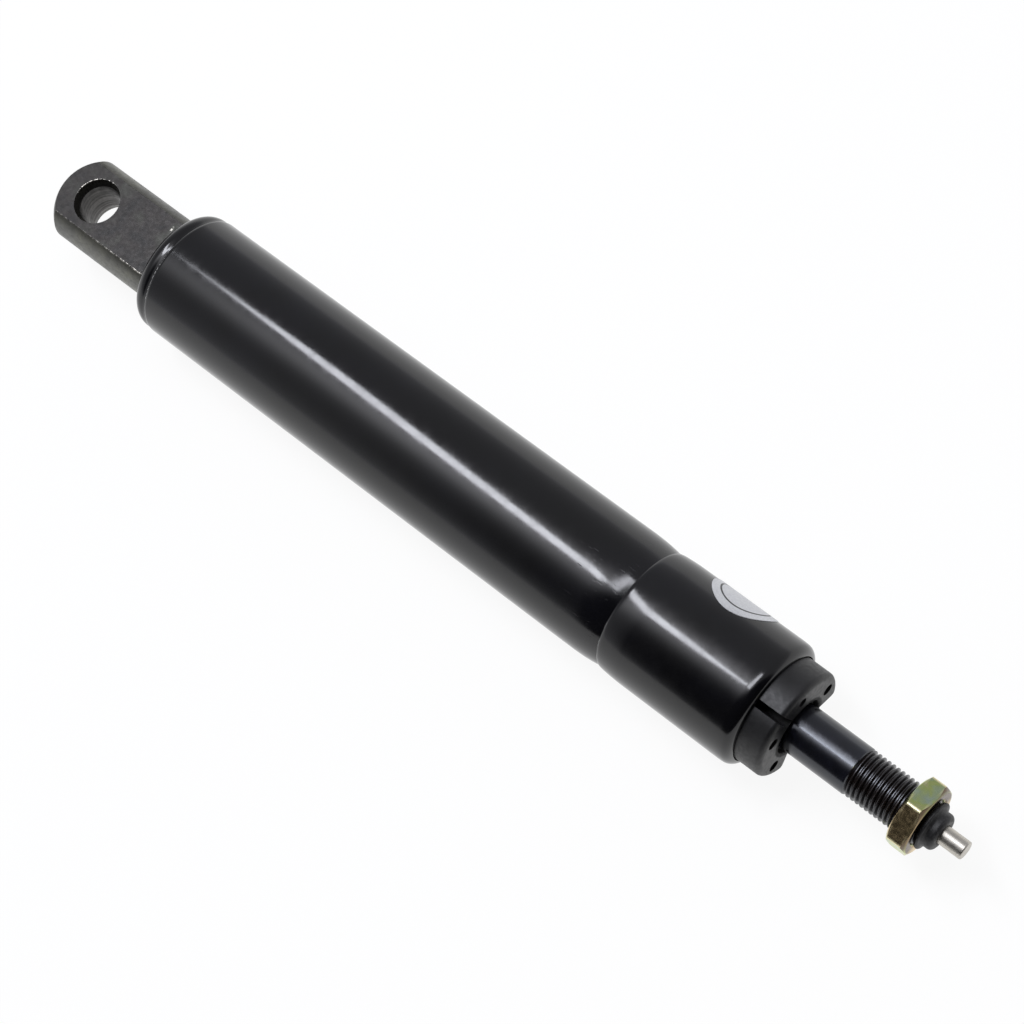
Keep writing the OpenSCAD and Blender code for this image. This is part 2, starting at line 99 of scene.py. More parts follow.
# camera, in metres and as unit vectors
CAMERA_AT, LENS, SENSOR = (0.377987, -0.092457, 0.587035), 98.4375, 36
CAMERA_RIGHT = (0.74344792, 0.63561363, -0.20803965)
CAMERA_UP = (-0.55072517, 0.75831865, 0.34879021)


# ---------------------------------------------------------------- workshop


def only(obj):
    """Makes obj the one selected and active object."""
    bpy.ops.object.select_all(action="DESELECT")
    obj.select_set(True)
    bpy.context.view_layer.objects.active = obj


def pick(obj, wanted, kind="verts"):
    """In edit mode, selects just the vertices or edges that wanted() accepts."""
    bpy.ops.mesh.select_all(action="DESELECT")
    mesh = bmesh.from_edit_mesh(obj.data)
    for item in getattr(mesh, kind):
        if wanted(item):
            item.select_set(True)
    if kind == "verts":
        mesh.select_flush_mode()
    bmesh.update_edit_mesh(obj.data)


def named(name):
    """Names the object just added and sets its place into its mesh."""
    obj = bpy.context.object
    obj.name = obj.data.name = name
    bpy.ops.object.transform_apply(location=True, rotation=True, scale=True)
    return obj


def arc(x, r, radius, start, end, steps=8):
    """Stations round a corner with its centre at x and r; 0 degrees points outwards, 90 to
    the rod's end."""
    turns = [math.radians(start + (end - start) * i / steps) for i in range(steps + 1)]
    return [(x + radius * math.sin(a), r + radius * math.cos(a)) for a in turns]


def turned(name, stations, sides=SIDES):
    """Turns a piece on the strut's axis: a circle extruded from one (place, radius) to the next.

    A first or last radius of 0 closes that end. The same first and last station closes the
    ring."""
    bpy.ops.object.select_all(action="DESELECT")
    start_closed = stations[0][1] == 0
    ring = stations[0] == stations[-1]
    stations = stations[1:] if start_closed else stations
    x, r = stations[0]
    bpy.ops.mesh.primitive_circle_add(
        vertices=sides, radius=r * MM, location=(x * MM, 0, 0), rotation=(0, math.pi / 2, 0)
    )
    obj = named(name)
    bpy.ops.object.mode_set(mode="EDIT")
    bpy.ops.mesh.select_mode(type="VERT")
    bpy.ops.mesh.select_all(action="SELECT")
    if start_closed:
        bpy.ops.mesh.edge_face_add()
        bpy.ops.mesh.poke()
        pick(obj, lambda v: v.co.yz.length > r * MM / 2)
    for (xa, ra), (xb, rb) in zip(stations, stations[1:]):
        bpy.ops.mesh.extrude_region_move(
            TRANSFORM_OT_translate={"value": ((xb - xa) * MM, 0, 0)}
        )
        if rb == 0:
            bpy.ops.mesh.merge(type="CENTER")
        elif rb != ra:
            bpy.ops.transform.resize(
                value=(1, rb / ra, rb / ra), center_override=(xb * MM, 0, 0)
            )
    bpy.ops.mesh.select_all(action="SELECT")
    if ring:
        bpy.ops.mesh.remove_doubles(threshold=1e-6)
    bpy.ops.mesh.normals_make_consistent(inside=False)
    bpy.ops.object.mode_set(mode="OBJECT")
    return obj


def block(name, low, high):
    """A box between two corners, for cutting with."""
    bpy.ops.object.select_all(action="DESELECT")
    size = [(b - a) * MM for a, b in zip(low, high)]
    middle = [(a + b) / 2 * MM for a, b in zip(low, high)]
    bpy.ops.mesh.primitive_cube_add(size=1, location=middle, scale=size)
    return named(name)


def drill(name, radius, low, high, sides=96, turn=(0, 0, 0)):
    """A round bar along Z from low to high, turned about the origin, for cutting with."""
    bpy.ops.object.select_all(action="DESELECT")
    bpy.ops.mesh.primitive_cylinder_add(
        vertices=sides, radius=radius * MM, depth=(high - low) * MM,
        location=(0, 0, (low + high) / 2 * MM),
    )
    obj = named(name)
    obj.rotation_euler = [math.radians(t) for t in turn]
    bpy.ops.object.transform_apply(location=False, rotation=True, scale=False)
    return obj


def place(obj, x=0, y=0, z=0, about_x=0):
    """Moves a cutting tool and then turns it about the strut's axis, from +Z towards -Y."""
    only(obj)
    obj.location = (x * MM, y * MM, z * MM)
    bpy.ops.object.transform_apply(location=True, rotation=False, scale=False)
    obj.rotation_euler = (math.radians(about_x), 0, 0)
    bpy.ops.object.transform_apply(location=False, rotation=True, scale=False)
    return obj


def join_by(obj, tool, operation):
    """Applies a boolean of obj with tool, and puts the tool away."""
    only(obj)
    step = obj.modifiers.new("cut", "BOOLEAN")
    step.operation, step.object, step.solver = operation, tool, "EXACT"
    bpy.ops.object.modifier_apply(modifier=step.name)
    bpy.data.objects.remove(tool, do_unlink=True)


def soften(obj, width, segments=3, angle=30):
    """Rounds the sharp edges over a width in millimetres, and keeps the flat faces flat."""
    only(obj)
    step = obj.modifiers.new("soften", "BEVEL")
    step.width, step.segments = width * MM, segments
    step.limit_method, step.angle_limit = "ANGLE", math.radians(angle)
    step.miter_outer = "MITER_ARC"
    bpy.ops.object.modifier_apply(modifier=step.name)


def smooth(obj, angle=40, weighted=False):
    """Smooth shading up to an angle; weighted keeps large flat faces plain."""
    only(obj)
    bpy.ops.object.shade_smooth_by_angle(angle=math.radians(angle))
    if weighted:
        step = obj.modifiers.new("flats", "WEIGHTED_NORMAL")
        step.keep_sharp = True
        bpy.ops.object.modifier_apply(modifier=step.name)


def fit(obj, body, node, finish):
    """Gives a finished piece its body, the CAD node it stands for and its material."""
    only(obj)
    obj.data.materials.clear()
    obj.data.materials.append(finish)
    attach(obj, body)
    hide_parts(node)


# ---------------------------------------------------------------- finishes


def srgb(r, g, b):
    """A colour as read off a screen, 0 to 255, as the shader wants it."""
    def one(c):
        c /= 255
        return c / 12.92 if c <= 0.04045 else ((c + 0.055) / 1.055) ** 2.4
    return (one(r), one(g), one(b), 1)


class Finish:
    """A material built node by node; its place() is in millimetres on the piece."""

    def __init__(self, name, **sockets):
        self.material = bpy.data.materials.new(name)
        self.material.use_nodes = True
        self.tree = self.material.node_tree
        self.shader = self.tree.nodes["Principled BSDF"]
        for socket, value in sockets.items():
            self.shader.inputs[socket.replace("_", " ")].default_value = value
        coordinates = self.node("ShaderNodeTexCoord")
        self.place = self.vector("SCALE", coordinates.outputs["Object"], scale=1000)
        parts = self.node("ShaderNodeSeparateXYZ", Vector=self.place)
        self.x, self.y, self.z = parts.outputs

    def node(self, kind, **inputs):
        made = self.tree.nodes.new(kind)
        for socket, value in inputs.items():
            self.feed(made.inputs[socket.replace("_", " ")], value)
        return made

    def feed(self, socket, value):
        if isinstance(value, bpy.types.NodeSocket):
            self.tree.links.new(value, socket)
        else:
            socket.default_value = value

    def vector(self, operation, a, b=None, scale=None):
        made = self.tree.nodes.new("ShaderNodeVectorMath")
        made.operation = operation
        self.feed(made.inputs[0], a)
        if b is not None:
            self.feed(made.inputs[1], b)
        if scale is not None:
            made.inputs["Scale"].default_value = scale
        return made.outputs["Value" if operation == "LENGTH" else "Vector"]

    def maths(self, operation, a, b=None):
        made = self.tree.nodes.new("ShaderNodeMath")
        made.operation = operation
        self.feed(made.inputs[0], a)
        if b is not None:
            self.feed(made.inputs[1], b)
        return made.outputs[0]

    def times(self, share, *others):
        """The product of several shares."""
        for other in others:
            share = self.maths("MULTIPLY", share, other)
        return share

    def length(self, **parts):
        """The distance from the origin of a place that is given by some of X, Y and Z."""
        return self.vector("LENGTH", self.node("ShaderNodeCombineXYZ", **parts).outputs[0])

    def from_axis(self):
        return self.length(Y=self.y, Z=self.z)

    def cloud(self, scale, low, high, detail=4):
        """Soft patches, from low to high."""
        return self.span(self.noise(scale, detail), 0.3, 0.7, low, high)

    def stretched(self, x=1, y=1, z=1):
        """The place, scaled along the axes, so that a pattern is drawn out."""
        return self.vector("MULTIPLY", self.place, (x, y, z))

    def noise(self, scale, detail=3, rough=0.55, place=None, twist=0):
        made = self.node("ShaderNodeTexNoise", Vector=place or self.place, Scale=scale,
                         Detail=detail, Roughness=rough, Distortion=twist)
        return made.outputs["Fac"]

    def span(self, value, low, high, to_low=0, to_high=1):
        """Maps low..high on to to_low..to_high, smoothly, and no further."""
        made = self.node("ShaderNodeMapRange", Value=value)
        made.interpolation_type = "SMOOTHSTEP"
        for socket, number in zip(("From Min", "From Max", "To Min", "To Max"),
                                  (low, high, to_low, to_high)):
            self.feed(made.inputs[socket], number)
        return made.outputs["Result"]

    def band(self, value, low, high, edge):
        """1 between low and high, falling to 0 over edge outside them."""
        return self.maths("MULTIPLY", self.span(value, low - edge, low),
                          self.span(value, high, high + edge, 1, 0))

    def mix(self, share, a, b):
        made = self.tree.nodes.new("ShaderNodeMix")
        made.data_type = "RGBA"
        self.feed(made.inputs["Factor"], share)
        self.feed(made.inputs[6], a)
        self.feed(made.inputs[7], b)
        return made.outputs[2]

    def ramp(self, value, *stops):
        """Colours at places along value: (place, colour), ..."""
        made = self.node("ShaderNodeValToRGB", Fac=value)
        points = made.color_ramp.elements
        while len(points) < len(stops):
            points.new(0.5)
        for point, (position, colour) in zip(points, stops):
            point.position, point.color = position, colour
        return made.outputs["Color"]

    def bump(self, height, depth):
        """Height 0..1 as relief, depth in millimetres; the next call adds to the last."""
        made = self.node("ShaderNodeBump", Height=height, Strength=1.0)
        made.inputs["Distance"].default_value = depth * MM
        normal = self.shader.inputs["Normal"]
        if normal.is_linked:
            self.tree.links.new(normal.links[0].from_socket, made.inputs["Normal"])
        self.tree.links.new(made.outputs["Normal"], normal)

    def sets(self, **sockets):
        for socket, value in sockets.items():
            self.feed(self.shader.inputs[socket.replace("_", " ")], value)
        return self.material


def tube_paint():
    """Gloss black paint, faintly dusty, with a few chips on the roll at the base."""
    f = Finish("tube_paint", IOR=1.5)
    shade = f.span(f.noise(0.05, 2), 0.35, 0.7)
    colour = f.mix(shade, srgb(9, 9, 11), srgb(14, 14, 18))
    dust = f.span(f.noise(2.6, 5, 0.7), 0.68, 0.8)
    colour = f.mix(f.times(dust, 0.16), colour, srgb(92, 92, 96))
    valley = f.band(f.x, VALLEY + 0.4, VALLEY + 0.65, 0.12)
    chips = f.span(f.noise(1.9, 4, 0.7), 0.53, 0.62)
    chips = f.times(valley, chips, f.span(f.y, 0, -4, 0, 0.7))
    # the groove's lip on the -Y side is coloured pale: partly worn paint, partly painted highlight
    groove = f.band(f.x, GROOVE, GROOVE + 0.15, 0.1)
    rubbed = f.span(f.noise(0.35, 3), 0.45, 0.7, 0, 0.3)
    rubbed = f.times(groove, rubbed, f.span(f.y, -6, -12))
    worn = f.maths("MAXIMUM", rubbed, chips)
    colour = f.mix(worn, colour, srgb(188, 188, 186))
    scratch = f.noise(0.9, 3, 0.6, place=f.stretched(0.25, 3, 3))
    scratched = f.times(f.band(f.x, 160, 171, 6), f.span(scratch, 0.62, 0.72))
    f.bump(f.noise(0.9, 2), 0.003)
    f.bump(f.noise(0.12, 1), 0.02)
    f.bump(scratched, 0.004)
    rough = f.span(f.noise(0.4, 4), 0.3, 0.75, 0.11, 0.17)
    rough = f.maths("ADD", rough, f.times(f.maths("MAXIMUM", worn, scratched), 0.2))
    return f.sets(Base_Color=colour, Roughness=rough)


def burnished_steel():
    """Milled bar gone dark: mottled, with bright rubbed edges and the drill's marks in its bore;
    its round sides carry painted shade near the flats, and its upper flat a painted glint near its
    root."""
    f = Finish("burnished_steel", Metallic=0.85)
    cloud = f.noise(0.16, 4, 0.6, twist=0.4)
    grain = f.noise(5.5, 4, 0.75)
    up = f.maths("ABSOLUTE", f.z)
    milled = f.span(up, FLAT_Z - 0.12, FLAT_Z - 0.02)
    # painted shade: the round sides are coloured darker towards the edges of the flats
    painted_shade_near_flats = f.span(f.maths("ABSOLUTE", f.y), 8.1, 10.2, 0.75, 0)
    flat_colour = f.ramp(cloud, (0.3, srgb(45, 45, 45)), (0.5, srgb(52, 50, 49)),
                         (0.72, srgb(60, 61, 57)))
    round_colour = f.ramp(cloud, (0.3, srgb(97, 97, 95)), (0.5, srgb(105, 105, 101)),
                          (0.72, srgb(120, 120, 110)))
    round_colour = f.mix(painted_shade_near_flats, round_colour, srgb(52, 51, 44))
    colour = f.mix(milled, round_colour, flat_colour)
    colour = f.mix(f.span(grain, 0.5, 0.8, 0, 0.5), colour, srgb(90, 90, 88))
    dark = f.span(f.noise(1.4, 4, 0.65), 0.52, 0.7, 0, 0.35)
    colour = f.mix(dark, colour, srgb(39, 38, 36))
    fleck = f.span(f.noise(2.1, 5, 0.7), 0.7, 0.78)
    colour = f.mix(f.times(fleck, 0.4), colour, srgb(140, 136, 130))
    from_bore = f.length(X=f.x, Y=f.y)
    colour = f.mix(rubbed_edges_and_glint(f, up, from_bore), colour, srgb(222, 218, 208))
    inside = f.span(from_bore, EYE_BORE_R + 0.05, EYE_BORE_R + 0.3, 1, 0)
    rings = f.noise(1.1, 3, 0.6, place=f.stretched(0.04, 0.04, 1))
    drilled = f.mix(f.span(rings, 0.35, 0.65), srgb(58, 57, 56), srgb(98, 96, 95))
    colour = f.mix(f.times(inside, 0.9), colour, drilled)
    f.bump(f.times(rings, inside), 0.05)
    f.bump(grain, 0.006)
    f.bump(f.noise(0.5, 3), 0.02)
    return f.sets(Base_Color=colour, Roughness=f.cloud(0.9, 0.36, 0.48))


def rubbed_edges_and_glint(f, up, from_bore):
    """Where the eye is rubbed bright, the flats' -Y edge and the bore's rim, and one painted glint
    near the root of the upper flat.
    """
    flat_edge, rim_r = -math.sqrt(BAR_R ** 2 - FLAT_Z ** 2), EYE_BORE_R + LEAD_RISE
    edge = f.times(f.band(up, FLAT_Z - 0.16, FLAT_Z, 0.06),
                   f.band(f.y, flat_edge - 0.15, flat_edge + 0.1, 0.1),
                   f.span(f.x, 4, 24, 0.18, 0.8))
    rim = f.times(f.band(from_bore, rim_r - 0.08, rim_r + 0.12, 0.08),
                  f.band(up, FLAT_Z - 0.2, FLAT_Z, 0.1),
                  f.span(f.x, 1.5, -1.5), f.span(f.y, -2, 1))
    worn = f.times(f.maths("MAXIMUM", edge, rim), f.span(f.noise(1.3, 5, 0.7), 0.44, 0.62))
    # painted highlight: a small pale glint on the upper flat near its root
    painted_glint = f.times(f.band(f.x, 21.2, 21.5, 0.25), f.band(f.y, 4.9, 5.9, 0.4),
                   f.span(f.z, 0, 1), f.span(f.noise(1.6, 3), 0.4, 0.55, 0, 0.8))
    return f.maths("MAXIMUM", worn, painted_glint)


def rod_nitrided():
    """Black nitrided rod, ground round and wiped with oil; duller in the thread."""
    f = Finish("rod_nitrided", IOR=1.65, Specular_Tint=(0.88, 0.92, 1, 1))
    shade = f.span(f.noise(0.2, 3), 0.35, 0.7)
    colour = f.mix(shade, srgb(14, 14, 19), srgb(20, 21, 29))
    thread = f.span(f.x, THREAD_START - 0.2, THREAD_START + 0.2)
    crest = f.times(f.span(f.from_axis(), THREAD_R - 0.08, THREAD_R - 0.02), thread,
                    f.span(f.noise(0.6, 4), 0.5, 0.75, 0, 0.25))
    colour = f.mix(thread, colour, srgb(20, 12, 8))
    colour = f.mix(crest, colour, srgb(118, 108, 108))
    f.bump(f.noise(1.6, 3, 0.6, place=f.stretched(2, 0.12, 0.12)), 0.0007)
    f.bump(f.noise(0.35, 2), 0.012)
    rough = f.maths("ADD", f.cloud(0.5, 0.15, 0.2, 3), f.times(thread, 0.1))
    return f.sets(Base_Color=colour, Roughness=rough)


def collar_plastic():
    """Glass-filled plastic, moulded: matt, finely pitted and greyed by handling, with painted
    shade darkening the recess round the rod."""
    f = Finish("collar_plastic", IOR=1.5)
    grain = f.noise(4.5, 4, 0.75)
    shade = f.span(f.noise(0.25, 4), 0.35, 0.7)
    colour = f.mix(shade, srgb(14, 14, 16), srgb(24, 24, 26))
    colour = f.mix(f.span(grain, 0.58, 0.78, 0, 0.3), colour, srgb(70, 70, 72))
    # painted shade: the recess round the rod is coloured near black, where shade falls, and made
    # rougher
    recess_painted_shade = f.times(f.span(f.from_axis(), HUB_R + 0.6, HUB_R), f.span(f.x, 211, 212))
    colour = f.mix(recess_painted_shade, colour, srgb(7, 7, 7))
    f.bump(grain, 0.03)
    f.bump(f.noise(0.5, 3), 0.04)
    rough = f.maths("ADD", f.cloud(1.2, 0.4, 0.52, 3), f.times(recess_painted_shade, 0.3))
    return f.sets(Base_Color=colour, Roughness=rough)


def nut_zinc():
    """Yellow-passivated zinc: a thin film that turns green, straw and pink in patches and tan on
    the front face; the upper -Y face has a painted tan reflection tint, the front face painted
    shade low down, the upper front chamfer painted shade, and the corners are pale with wear and
    painted highlight."""
    f = Finish("nut_zinc", Metallic=1.0)
    film = f.noise(0.3, 2, 0.45, twist=0.3)
    colour = f.ramp(film, (0.22, srgb(176, 194, 186)), (0.4, srgb(180, 196, 156)),
                    (0.52, srgb(188, 202, 126)), (0.68, srgb(204, 202, 158)),
                    (0.84, srgb(214, 190, 178)))
    from_axis = f.from_axis()
    front = f.times(f.span(f.x, NUT_FRONT - 0.6, NUT_FRONT - 0.1),
                    f.span(from_axis, NUT_FACE_R + 0.15, NUT_FACE_R - 0.1))
    # painted reflection tint: the upper -Y face is coloured tan for the look of its reflection;
    # the front face takes the same tan as film
    brown = f.times(f.span(f.y, -0.4, -1.2), f.span(f.z, 3.4, 4.4))
    brown = f.times(f.maths("MAXIMUM", brown, front), f.span(f.noise(0.4, 2), 0.2, 0.6, 0.9, 1))
    colour = f.mix(brown, colour, srgb(226, 200, 152))
    # painted shade: the front face is coloured dark brown towards its bottom
    colour = f.mix(f.times(front, f.span(f.z, -5, 0)), colour, srgb(86, 68, 52))
    # the chamfer is what lies outside a cone of this slope round the front corners
    slope, cone_r, cone_x = 1.5, 9.3, NUT_FRONT - 0.9
    cone = f.maths("ADD", from_axis, f.times(f.x, slope))
    shoulder = f.times(f.span(cone, cone_r + slope * cone_x, cone_r + slope * (cone_x + 0.06)),
                       f.span(f.z, -1, 3))
    # painted shade: the upper part of the front chamfer is coloured dark brown
    colour = f.mix(shoulder, colour, srgb(104, 90, 72))
    # the corners and chamfer rings are coloured pale: partly wear, partly painted highlight
    middle = f.band(f.x, NUT_BACK + 1.0, NUT_FRONT - 1.0, 0.2)
    ends = f.times(f.maths("SUBTRACT", 1, middle), f.span(from_axis, 8.2, 8.7),
                   f.maths("SUBTRACT", 1, shoulder))
    corner = f.maths("MAXIMUM", f.span(from_axis, 9.2, 9.36), f.times(ends, 0.45))
    colour = f.mix(corner, colour, srgb(236, 228, 186))
    scratch = f.noise(0.8, 3, 0.6, place=f.stretched(0.35, 2.4, 2.4))
    f.bump(f.span(scratch, 0.55, 0.72), 0.002)
    f.bump(f.noise(0.35, 2), 0.02)
    rough = f.maths("ADD", f.cloud(1.0, 0.2, 0.3), f.times(corner, 0.2))
    return f.sets(Base_Color=colour, Roughness=rough)


def boot_rubber():
    """Black moulded rubber, matt, with a little dust."""
    f = Finish("boot_rubber", IOR=1.5)
    dust = f.span(f.noise(1.8, 5, 0.7), 0.5, 0.75)
    colour = f.mix(f.times(dust, 0.5), srgb(30, 30, 31), srgb(92, 92, 92))
    f.bump(f.noise(5, 3, 0.7), 0.012)
    f.bump(f.noise(0.6, 2), 0.04)
    return f.sets(Base_Color=colour, Roughness=f.cloud(0.9, 0.42, 0.6, 3))


def pin_steel():
    """Bright drawn steel with fine lines along it and a few stains."""
    f = Finish("pin_steel", Metallic=1.0)
    lines = f.noise(1.8, 3, 0.6, place=f.stretched(0.12, 3, 3))
    colour = f.mix(f.span(lines, 0.3, 0.7), srgb(186, 181, 172), srgb(206, 202, 194))
    stain = f.span(f.noise(0.5, 4, 0.6), 0.56, 0.75, 0, 0.35)
    colour = f.mix(stain, colour, srgb(160, 150, 140))
    f.bump(lines, 0.002)
    return f.sets(Base_Color=colour, Roughness=f.cloud(0.9, 0.36, 0.44))


def sticker_paper():
    """Silvered foil sticker, bare but for a thin dark ring near its edge."""
    f = Finish("sticker_paper", Metallic=0.35)
    turn = f.tree.nodes.new("ShaderNodeMapping")
    turn.vector_type = "TEXTURE"
    f.feed(turn.inputs["Vector"], f.place)
    turn.inputs["Location"].default_value = (STICKER_X, 0, 0)
    turn.inputs["Rotation"].default_value = (math.radians(STICKER_ANGLE), 0, 0)
    face = f.node("ShaderNodeSeparateXYZ", Vector=turn.outputs["Vector"])
    ring = f.band(f.length(X=face.outputs[0], Y=face.outputs[1]), 6.1, 6.5, 0.06)
    fibre = f.noise(2.5, 4, 0.7)
    colour = f.mix(f.span(fibre, 0.35, 0.7), srgb(196, 197, 200), srgb(216, 217, 219))
    colour = f.mix(ring, colour, srgb(38, 38, 40))
    f.bump(fibre, 0.006)
    f.bump(f.noise(0.3, 2), 0.05)
    return f.sets(Base_Color=colour, Roughness=f.cloud(0.7, 0.3, 0.42, 3))


def seal_rubber():
    """Oily nitrile rubber of the seals and rings."""
    f = Finish("seal_rubber", IOR=1.5)
    colour = f.mix(f.span(f.noise(0.8, 4), 0.35, 0.7), srgb(24, 24, 25), srgb(40, 39, 38))
    f.bump(f.noise(4, 3), 0.01)
    return f.sets(Base_Color=colour, Roughness=f.cloud(1.1, 0.28, 0.45, 3))


def turned_metal(name, dark, light, rough):
    """Metal as it comes off a lathe: fine rings round the strut's axis over a soft cloud."""
    f = Finish(name, Metallic=1.0)
    rings = f.noise(3, 4, 0.7, place=f.stretched(3, 0.1, 0.1))
    colour = f.mix(f.span(f.noise(0.3, 4), 0.35, 0.7), dark, light)
    f.bump(rings, 0.01)
    return f.sets(Base_Color=colour, Roughness=f.span(rings, 0.3, 0.7, rough, rough + 0.12))


# ---------------------------------------------------------------- pieces


def base_stations():
    """The tube's base end, from its opening: a roll up to a crest, a valley and a rise."""
    stations = [(TUBE_START + 0.3, BASE_OPENING_R), (TUBE_START + 0.08, BASE_OPENING_R + 0.12),
                (TUBE_START, BASE_OPENING_R + 0.35)]
    stations += arc(TUBE_START + BASE_ROLL, BASE_CREST - BASE_ROLL, BASE_ROLL, -86, 12, 16)
    stations += [(VALLEY - 0.25, BASE_CREST - 0.1), (VALLEY, BASE_CREST - 0.12),
                 (VALLEY + 0.16, BASE_CREST - 0.11)]
    return stations + arc(BASE_RISE_END, TUBE_R - BASE_RISE, BASE_RISE, -38, 0, 8)


def groove_stations():
    """The rolled groove: a smooth fall, a sharp bottom, and a steep rise that eases out."""
    fall_steps, rise_steps = 12, 18
    fall_power, steep_share, steep_length, ease_power = 2.6, 0.45, 0.35, 1.7
    stations = []
    for i in range(fall_steps):
        u = -1 + i / fall_steps
        stations.append((GROOVE + GROOVE_FALL * u, TUBE_R - GROOVE_DEPTH * (1 + u) ** fall_power))
    stations.append((GROOVE, TUBE_R - GROOVE_DEPTH))
    for i in range(1, rise_steps + 1):
        u = (i / rise_steps) ** 1.6
        steep = steep_share * math.exp(-u * GROOVE_RISE / steep_length)
        depth = GROOVE_DEPTH * (steep + (1 - steep_share) * (1 - u) ** ease_power)
        stations.append((GROOVE + GROOVE_RISE * u, TUBE_R - depth))
    return stations


def mouth_stations():
    """The tube's mouth end: it eases inwards, and then rolls in as far as the opening."""
    slope = math.radians(MOUTH_TILT)
    dip = MOUTH_EASE * (1 - math.cos(slope))
    roll_x = TUBE_MOUTH - MOUTH_ROLL
    roll_r = TUBE_R - dip - MOUTH_ROLL * math.cos(slope)
    ease_x = roll_x + (MOUTH_ROLL - MOUTH_EASE) * math.sin(slope)
    cut_at = math.degrees(math.acos((MOUTH_OPENING_R - roll_r) / MOUTH_ROLL))
    return (arc(ease_x, TUBE_R - MOUTH_EASE, MOUTH_EASE, 0, MOUTH_TILT, 6)
            + arc(roll_x, roll_r, MOUTH_ROLL, MOUTH_TILT, cut_at, 12)[1:])


def outer_tube():
    """Drawn tube, rolled in at both ends, with its groove and the bead that it makes inside."""
    bevel = 1.4
    obj = turned("outer_tube_rolled", [
        *base_stations(), *groove_stations(), *mouth_stations(),
        (TUBE_MOUTH - LIP, MOUTH_OPENING_R), (TUBE_MOUTH - LIP, BORE_R),
        (GROOVE + GROOVE_RISE, BORE_R), (GROOVE, BORE_R - GROOVE_DEPTH),
        (GROOVE - GROOVE_FALL, BORE_R), (TUBE_START + LIP + bevel, BORE_R),
        (TUBE_START + LIP, BORE_R - bevel), (TUBE_START + LIP, BASE_OPENING_R),
        (TUBE_START + 0.3, BASE_OPENING_R),
    ], 256)
    smooth(obj, 25)
    fit(obj, "cylinder", "outer_tube", tube_paint())


def eye_fitting():
    """The bar with its plug and ring groove, domed at its end, milled flat and bored."""
    groove_back = PLUG_GROOVE - PLUG_GROOVE_WIDTH / 2
    groove_front = PLUG_GROOVE + PLUG_GROOVE_WIDTH / 2
    back_bevel, front_bevel, dish, dish_r = 1.4, 0.8, 2.0, 7.2
    shoulder = -math.degrees(math.acos(BAR_R / EYE_DOME_R))
    obj = turned("eye_milled", [
        (-EYE_DOME_R, 0), *arc(0, 0, EYE_DOME_R, -87, shoulder, 18), (PLUG_START, BAR_R),
        (PLUG_START, PLUG_R - back_bevel), (PLUG_START + back_bevel, PLUG_R),
        (groove_back, PLUG_R), (groove_back, PLUG_GROOVE_R),
        (groove_front, PLUG_GROOVE_R), (groove_front, PLUG_R),
        (PLUG_END - front_bevel, PLUG_R), (PLUG_END, PLUG_R - front_bevel),
        (PLUG_END, dish_r), (PLUG_END - dish, dish_r), (PLUG_END - dish, 0),
    ])
    for side in (-1, 1):
        low, high = sorted((side * FLAT_Z, side * OUTSIDE))
        mill = block("mill", (-1.5 * OUTSIDE, -OUTSIDE, low), (FLAT_END, OUTSIDE, high))
        join_by(obj, mill, "DIFFERENCE")
    join_by(obj, drill("bore", EYE_BORE_R, -OUTSIDE, OUTSIDE, 128), "DIFFERENCE")
    for side in (-1, 1):
        join_by(obj, lead_in(side), "DIFFERENCE")
    soften(obj, 0.28, 3, 15)
    smooth(obj, 40, weighted=True)
    fit(obj, "cylinder", "eye_fitting", burnished_steel())


def lead_in(side):
    """The cone that widens the eye's bore at one of its ends, for cutting with."""
    bpy.ops.object.select_all(action="DESELECT")
    bpy.ops.mesh.primitive_cone_add(
        vertices=128, radius1=EYE_BORE_R * MM, radius2=(EYE_BORE_R + 2 * LEAD_RISE) * MM,
        depth=2 * LEAD_DEPTH * MM, location=(0, 0, side * FLAT_Z * MM),
        rotation=(0 if side > 0 else math.pi, 0, 0),
    )
    return named("lead_in")


def end_collar():
    """Plastic collar: a flange behind the mouth's lip, a hub round the rod, and two lobes parted
    by a slit and an open side."""
    rim, bevel = COLLAR_RIM, 0.2
    obj = turned("end_collar_lobes", [
        (FLANGE_BACK, COLLAR_BORE_R), (FLANGE_BACK, FLANGE_R), (FLANGE_FRONT, FLANGE_R),
        (FLANGE_FRONT, COLLAR_R), *arc(COLLAR_FRONT - rim, COLLAR_R - rim, rim, 0, 90, 8),
        (COLLAR_FRONT, RECESS_R + bevel), (COLLAR_FRONT - bevel, RECESS_R),
        (HUB_FRONT, RECESS_R), (HUB_FRONT, COLLAR_BORE_R), (FLANGE_BACK, COLLAR_BORE_R),
    ])
    slit = block("slit", (SLIT_FLOOR, -SLIT_WIDTH / 2, 0), (CUT_END, SLIT_WIDTH / 2, OUTSIDE))
    for tool in (place(slit, about_x=SLIT_ANGLE), collar_gap()):
        hub = drill("hub", HUB_R - 0.25, *COLLAR_SPAN, SIDES, (0, 90, 0))
        join_by(tool, hub, "DIFFERENCE")
        join_by(obj, tool, "DIFFERENCE")
    for side in (-1, 1):
        join_by(obj, lobe_corner(side), "DIFFERENCE")
    for turn, radius in HOLES:
        hole = drill("hole", radius, 0, 6, 48, (0, 90, 0))
        place(hole, x=COLLAR_FRONT - HOLE_DEPTH, z=COLLAR_R - HOLE_IN, about_x=turn + SLIT_ANGLE)
        join_by(obj, hole, "DIFFERENCE")
    smooth(obj, 30, weighted=True)
    fit(obj, "cylinder", "end_collar", collar_plastic())


